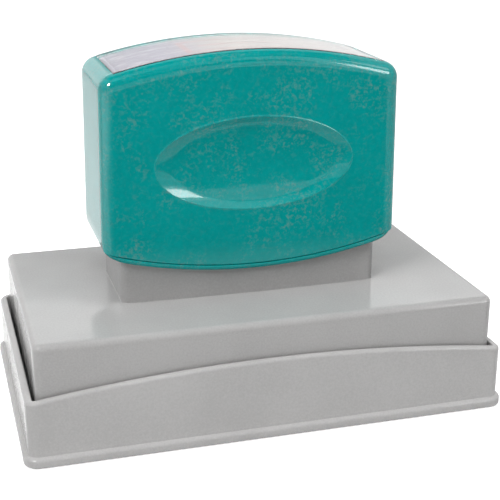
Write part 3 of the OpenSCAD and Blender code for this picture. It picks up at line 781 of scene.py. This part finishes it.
pocket = shell_grid[pocket_row:last_row - pocket_row + 1, pocket_column:columns.size - pocket_column + 1]
opening = np.roll(shell_grid, BOTTOM, axis=1)[hollow_row:last_row - hollow_row + 1, :2 * BOTTOM + 1]


def sunk(points, share, depth):
    """Points of the pocket drawn in by a share of x and y, at a depth below the crown's arc."""
    plan = points[..., :2] * share
    return np.concatenate([plan, crown(depth)(plan[..., :1])], axis=-1)


narrow = np.array([recess_half_l / pocket_half_l, recess_half_d / pocket_half_d])
pocket_rows = [rim(pocket), sunk(rim(pocket), 1, window_seat), sunk(rim(pocket), narrow, window_seat),
               sunk(rim(pocket), narrow, label_seat)]


def hollow(points, share):
    """Points of the opening carried up inside the shell by a share of the way to the hollow's top. The ends
    lean with the wall, and front and back stand clear of the dishes."""
    x = points[..., 0]
    top = crown(label_seat + top_skin)(x)
    z = points[..., 2] + share * (top - points[..., 2])
    x = x * (end_line(z) - handle_wall) / (end_line(points[..., 2]) - handle_wall)
    y = points[..., 1] * (1 - dish_back(x, z) / hollow_d)
    return np.stack([x, y, z], axis=-1)


rib_half_t = 0.8
rib_x = 27.6
rib_low = 62.9
rib_drop = 1.0
rib_high = end_low_z + side_h - rib_drop
land_x = 33.6
land_half_d = 5.0
land_low = 58.8
land_high = 62.8
land_end = hollow_x + handle_wall / 2
stiffeners = [slab(rib_half_t, hollow_d + handle_wall / 2, rib_low, rib_high, side * rib_x)
              for side in (-1, 1)]
lands = [slab((land_end - land_x) / 2, land_half_d, land_low, land_high, side * (land_end + land_x) / 2)
         for side in (-1, 1)]
shell = piece(
    "handle_cap", skin(shell_grid, keep=~(in_pocket | in_hollow)),
    *dished_face(shell_grid[0], -1), *dished_face(shell_grid[-1], 1),
    skin(pocket_rows), skin(sunk(pocket, narrow, label_seat), closed=False),
    skin([hollow(rim(opening), share) for share in np.linspace(0, 1, HOLLOW)]),
    skin(hollow(opening, 1), closed=False), *stiffeners, *lands)
teal = teal_plastic("handle_teal")
shell.data.materials.append(teal)
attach(shell, "handle")
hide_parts("handle_shell")


# Handle base: the teal ring that closes the handle below its parting line. It is moulded from the same
# plastic, and tongues on its ends plug into the shell.
parting_gap = 0.14
ring_round = 0.9
ring_top_round = 0.2
ring_half_l = 33.6
ring_corner = 3.5
ring_steps = 10
tongue_half_t = 0.6
tongue_half_w = 7.0
tongue_x = 34.7
tongue_h = 4.0
low_reach = np.hypot(low_x, low_z - under_z)
ring_top = ring_h - parting_gap
side_top_r = under_r - ring_top + ring_top_round
top_turn = np.arccos((side_top_r ** 2 - low_reach ** 2 - corner_r ** 2) / (2 * low_reach * corner_r))
low_lean = np.arctan2(low_x, under_z - low_z)
# Each row of the ring's side passes through a point of the handle's lower corner, on an arc about the
# centre of the underside
ring_rows = []
for turn in np.linspace(top_turn, 0, ring_steps):
    ring_l = low_x + corner_r * np.sin(low_lean + turn)
    ring_r = np.sqrt(low_reach ** 2 + corner_r ** 2 + 2 * low_reach * corner_r * np.cos(turn))
    short = max(ring_round - (under_r - ring_r), 0)
    ring_d = handle_half_d - ring_round + np.sqrt(ring_round ** 2 - short ** 2)
    ring_rows.append(lift(plan_loop(ring_l, ring_d, ring_corner), underside(under_r - ring_r)))
upper_l = low_x + corner_r * np.sin(low_lean + top_turn)
upper_arc = arc(ring_top_round, ring_top - ring_top_round, ring_top_round, 90, 0, 5)[:-1]
upper_rows = [lift(plan_loop(upper_l - inset, handle_half_d - inset, ring_corner), underside(height))
              for inset, height in upper_arc]
ring_hole = plan_loop(ring_half_l, hollow_d, SMALL_CORNER)
ring_rows = upper_rows + ring_rows
ring_rows += [lift(ring_hole, underside(0)), lift(ring_hole, underside(ring_top)), ring_rows[0]]
tongue_low = underside(0)(tongue_x) + ring_h / 2
tongue_high = underside(0)(tongue_x) + ring_h + tongue_h
tongues = [slab(tongue_half_t, tongue_half_w, tongue_low, tongue_high, side * tongue_x)
           for side in (-1, 1)]
ring = piece("handle_ring", skin(ring_rows), *tongues)
ring.data.materials.append(teal)
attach(ring, "handle")
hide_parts("handle_base")


# Index label: a card of coated paper in the pocket, under the window. It carries nothing but a plain
# printed frame and a rule in pale red. A lavender tone with pale wavy streaks at its left end is a painted
# reflection in the window's clear film.
def within(distance, limit, blur):
    """1 where a distance is less than the limit, fading to 0 over the blur beyond it."""
    return 1 - step(distance, limit, limit + blur)


def label_paper(name, half_l, half_d):
    """Coated paper in cream, with a painted reflection in the window's film at the left: a lavender tone
    and pale wavy streaks there. A pale red frame and rule are bands between two distances from the middle
    lines."""
    material, shader, place = finish(name)
    x = place.node("ShaderNodeSeparateXYZ", {}, {0: place}, "X")
    y = place.node("ShaderNodeSeparateXYZ", {}, {0: place}, "Y")
    wave_place = place.node("ShaderNodeMapping", {}, {"Vector": place, "Scale": (0.1, 1, 1)})
    waves = grain(wave_place, 2.0, 3.0)
    # The lavender tone and the pale streaks towards the left are a painted reflection in the window's film.
    left = 1 - step(x + (waves - 0.5) * 0.02, -0.55 * half_l * MM, -0.05 * half_l * MM)
    paper = tint(left, (0.56, 0.505, 0.47, 1), (0.33, 0.30, 0.39, 1))
    film_reflection_streak = step(waves, 0.53, 0.62) * left
    paper = tint(film_reflection_streak * 0.8, paper, (0.66, 0.64, 0.67, 1))
    tall = y.math("ABSOLUTE", y, 0)
    frame_x = 0.22 * half_l * MM
    wide = x.math("ABSOLUTE", x - frame_x, 0)
    frame_d = 0.62 * half_d * MM
    frame_l = 0.66 * half_l * MM
    rule_l = 0.8 * frame_l
    line = 1.2 * MM
    blur = line / 4
    inside_frame = within(tall, frame_d, blur) * within(wide, frame_l, blur)
    inside_line = within(tall, frame_d - line - blur, blur) * within(wide, frame_l - line - blur, blur)
    rule = within(tall, 0.6 * line, 0.2 * line) * within(wide, rule_l, blur)
    print_mask = (inside_frame - inside_line) + rule
    fade = 0.45 + 0.5 * step(grain(place, 0.5, 3.0), 0.3, 0.7)
    feed(shader, {
        "Base Color": tint(print_mask * fade, paper, (0.58, 0.27, 0.25, 1)),
        "Roughness": 0.45 + 0.2 * step(grain(place, 0.3, 3.0), 0.3, 0.7),
        "IOR": 1.45,
        "Normal": dent(grain(place, 0.25, 3.0), 0.01, 0.4)})
    return material


def crowned_card(half_l, half_d, corner, upper, lower, edge, rows=14):
    """A sheet bent on the crown's arc between two depths below it, with a rounded upper edge."""
    loop = plan_loop(half_l, half_d, corner)
    upper_rows = [lift(plan_loop(half_l - inset, half_d - inset, corner), crown(upper - height))
                  for inset, height in arc(edge, -edge, edge, 0, 90, 5)]
    top = plan_loop(half_l - edge, half_d - edge, corner)
    return [skin(lid(loop, crown(lower), rows)[::-1] + upper_rows), skin(lid(top, crown(upper), rows))]


label_corner = 0.5
label_edge = 0.08
label = piece("label_card", *crowned_card(label_half_l, label_half_d, label_corner,
                                          window_seat + label_slack, label_seat, label_edge))
label.data.materials.append(label_paper("label_cream", label_half_l, label_half_d))
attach(label, "handle")
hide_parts("index_label")


# Label window: a clear polished sheet, bent to the crown and flush with it. It clips into the pocket over
# the label and comes off upwards.
def clear_plastic(name):
    """Clear plastic: see-through with a faint cool tone, polished, with hairline scratches in its gloss."""
    material, shader, place = finish(name)
    hair_place = place.node("ShaderNodeMapping", {}, {"Vector": place, "Scale": (0.05, 1, 1),
                                                      "Rotation": (0, 0, 0.12)})
    hairs = step(grain(hair_place, 0.35, 3.0), 0.6, 0.75)
    feed(shader, {
        "Base Color": (0.975, 0.985, 0.985, 1),
        "Roughness": 0.03 + 0.10 * hairs,
        "IOR": 1.33,
        "Transmission Weight": 1.0,
        "Normal": dent(grain(place, 6, 2.0), 0.01, 0.3)})
    return material


window_t = 1.2
window_corner = 0.6
window_edge = 0.15
window = piece("clear_window", *crowned_card(window_half_l, window_half_d, window_corner, 0, window_t,
                                             window_edge))
window.data.materials.append(clear_plastic("window_clear"))
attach(window, "window")
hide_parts("label_window")


# Studio: a white floor that keeps a soft shadow, a key light from the left, fills on both sides, a panel
# above and a strip behind. Catch lights, a dark hood and pale cards show in gloss alone. The camera stands
# at the photograph's place. Places here are in metres.
FLOOR_HALF = 1.5
FLOOR_Z = -0.00015
AIM = (0.0, 0.0, 0.045)


def seen(tree):
    """1 for rays that come from the camera, from gloss or through clear pieces and have met nothing
    matt."""
    wire = Wire(tree)
    facts = ("Is Camera Ray", "Is Glossy Ray", "Is Transmission Ray", "Diffuse Depth")
    camera, gloss, clear, matt = (wire.node("ShaderNodeLightPath", output=name) for name in facts)
    any_ray = wire.math("MAXIMUM", camera, wire.math("MAXIMUM", gloss, clear))
    return any_ray * wire.math("LESS_THAN", matt, 0.5)


left_fade = (-0.36, -0.03)
back_fade = (0.0, 0.10)
near_fade = (-0.14, -0.11)
beyond_fade = (-0.70, -0.62)
aside_slant = 0.44
aside_fade = (0.035, 0.06)
horizon_fade = (0.3, 1.0)
floor_glow = 0.6
horizon_glow = 0.45
left_glow = 2.0
beyond_glow = 0.8
gloss_share = 0.6


def floor_white(name):
    """Matt white that reads as white to the camera and keeps the object's shadow. For gloss a dark card
    lies on it in front of the stamp, out of the picture: it leaves the floor white close by, aside and
    beyond, and lit on the left."""
    material = bpy.data.materials.new(name)
    material.use_nodes = True
    tree = material.node_tree
    tree.nodes.clear()
    place = Wire(tree).node("ShaderNodeTexCoord", output="Object")
    x = place.node("ShaderNodeSeparateXYZ", {}, {0: place}, "X")
    y = place.node("ShaderNodeSeparateXYZ", {}, {0: place}, "Y")
    gloss = place.node("ShaderNodeLightPath", output="Is Glossy Ray")
    left = (1 - step(x, *left_fade)) * (1 - step(y, *back_fade))
    aside = step(x + aside_slant * y, *aside_fade)
    beyond = 1 - step(y, *beyond_fade)
    card = (1 - step(y, *near_fade)) * (1 - beyond) * (1 - left) * (1 - aside)
    matt = place.node("ShaderNodeBsdfDiffuse", {}, {"Color": (0.8, 0.8, 0.8, 1)})
    distance = place.node("ShaderNodeVectorMath", {"operation": "LENGTH"}, {0: place}, "Value")
    horizon = horizon_glow * step(distance, *horizon_fade) * (1 - gloss)
    glow = floor_glow * (1 - (1 - gloss_share) * gloss) + horizon
    strength = seen(tree) * glow + gloss * (left_glow * left + beyond_glow * beyond)
    light = place.node("ShaderNodeEmission", {}, {"Color": (1, 1, 1, 1), "Strength": strength})
    white = place.node("ShaderNodeAddShader", {}, {0: matt, 1: light})
    dark = place.node("ShaderNodeBsdfDiffuse", {}, {"Color": (0.02, 0.02, 0.02, 1)})
    both = place.node("ShaderNodeMixShader", {}, {0: gloss * card, 1: white, 2: dark})
    feed(tree.nodes.new("ShaderNodeOutputMaterial"), {"Surface": both})
    return material


floor_mesh = bpy.data.meshes.new("floor")
floor_mesh.from_pydata([(x * FLOOR_HALF, y * FLOOR_HALF, FLOOR_Z)
                        for x, y in ((-1, -1), (1, -1), (1, 1), (-1, 1))], [], [(0, 1, 2, 3)])
floor_mesh.materials.append(floor_white("floor_white"))
floor = bpy.data.objects.new("floor", floor_mesh)
bpy.context.scene.collection.objects.link(floor)

world = bpy.data.worlds.new("studio")
world.use_nodes = True
bpy.context.scene.world = world
sky = world.node_tree.nodes["Background"]
ambient = 0.22
feed(sky, {"Color": (1, 1, 1, 1), "Strength": ambient + (1 - ambient) * seen(world.node_tree)})


def softbox(name, place, size, radiance, matt=True, gloss=True):
    """A square or oblong area light that faces the stamp, with the given radiance. It may light matt
    surfaces alone, or show in gloss alone."""
    lamp = bpy.data.lights.new(name, "AREA")
    lamp.shape = "RECTANGLE"
    lamp.size, lamp.size_y = size
    lamp.energy = radiance * np.pi * size[0] * size[1]
    made = bpy.data.objects.new(name, lamp)
    made.visible_camera = False
    made.visible_diffuse = matt
    made.visible_transmission = matt
    made.visible_glossy = gloss
    away = Vector(place) - Vector(AIM)
    made.matrix_world = Matrix.Translation(place) @ away.to_track_quat("Z", "Y").to_matrix().to_4x4()
    bpy.context.scene.collection.objects.link(made)


softbox("key_left", (-0.53, -0.48, 0.60), (0.24, 0.24), 13.0)
softbox("fill_left", (-0.70, 0.30, 0.70), (0.4, 0.4), 2.8, gloss=False)
softbox("fill_right", (0.53, -0.48, 0.60), (0.2, 0.2), 5.0)
softbox("panel_above", (0.0, -0.30, 1.02), (1.2, 0.4), 5.3, gloss=False)
softbox("strip_back", (0.1, 1.0, 0.5), (1.8, 0.16), 1.25)
softbox("catch_left", (-0.54, -0.49, 0.61), (0.24, 0.24), 90.0, matt=False)
softbox("catch_right", (0.475, -0.69, 0.300), (0.19, 0.19), 18.0, matt=False)
softbox("catch_halo", (0.51, -0.745, 0.325), (0.36, 0.36), 2.5, matt=False)
softbox("catch_corner", (-0.30, 0.95, 0.17), (0.56, 0.46), 0.35, matt=False)


def gloss_card(name, side_line, left_x, right_x, left_light, right_light):
    """A card that shows in gloss alone: a line in y and z carried along x, with its own light at each
    end."""
    mesh = bpy.data.meshes.new(name)
    points = [(x, y, z) for y, z in side_line for x in (left_x, right_x)]
    mesh.from_pydata(points, [], [(k, k + 2, k + 3, k + 1) for k in range(0, len(points) - 2, 2)])
    material, shader, place = finish(name)
    across = step(place.node("ShaderNodeSeparateXYZ", {}, {0: place}, "X"), left_x, right_x)
    feed(shader, {
        "Base Color": (0, 0, 0, 1),
        "Specular IOR Level": 0.0,
        "Emission Color": tint(across, (left_light, left_light, left_light, 1),
                               (right_light, right_light, right_light, 1)),
        "Emission Strength": 1.0})
    mesh.materials.append(material)
    made = bpy.data.objects.new(name, mesh)
    made.visible_camera = False
    made.visible_diffuse = False
    made.visible_transmission = False
    made.visible_shadow = False
    bpy.context.scene.collection.objects.link(made)


gloss_card("dark_hood", [(-0.9, 0.28), (-0.9, 1.1), (0.6, 1.35)], -0.75, 0.8, 0.0, 0.0)
gloss_card("grey_behind", [(0.94, 0.05), (0.94, 0.335)], 0.0, 0.46, 0.6, 1.0)
gloss_card("white_low", [(-1.35, 0.03), (-1.35, 0.28)], 0.25, 0.70, 1.5, 1.5)
gloss_card("grey_front", [(-0.88, 0.55), (-0.88, 1.08)], -0.15, 0.62, 0.0, 2.0)
gloss_card("grey_above", [(-0.70, 1.06), (-0.20, 1.14)], -0.6, 0.3, 1.8, 0.2)

camera_place = (-0.075213, -0.26648, 0.132017)
camera_yaw = np.radians(16.399)
camera_pitch = np.radians(19.229)
camera_roll = np.radians(0.31)
camera_focal = 1135.513
photo_px = 500
ahead = np.array([np.sin(camera_yaw) * np.cos(camera_pitch), np.cos(camera_yaw) * np.cos(camera_pitch),
                  -np.sin(camera_pitch)])
level = np.array([np.cos(camera_yaw), -np.sin(camera_yaw), 0])
upward = np.cross(level, ahead)
right = np.cos(camera_roll) * level + np.sin(camera_roll) * upward
upward = np.cross(right, ahead)
lens = bpy.data.cameras.new("camera")
lens.sensor_width = 36
lens.lens = camera_focal * lens.sensor_width / photo_px
lens.clip_start = 0.01
camera = bpy.data.objects.new("camera", lens)
turned = Matrix((right, upward, -ahead)).transposed().to_4x4()
camera.matrix_world = Matrix.Translation(camera_place) @ turned
bpy.context.scene.collection.objects.link(camera)
bpy.context.scene.camera = camera
bpy.context.scene.view_settings.view_transform = "Standard"
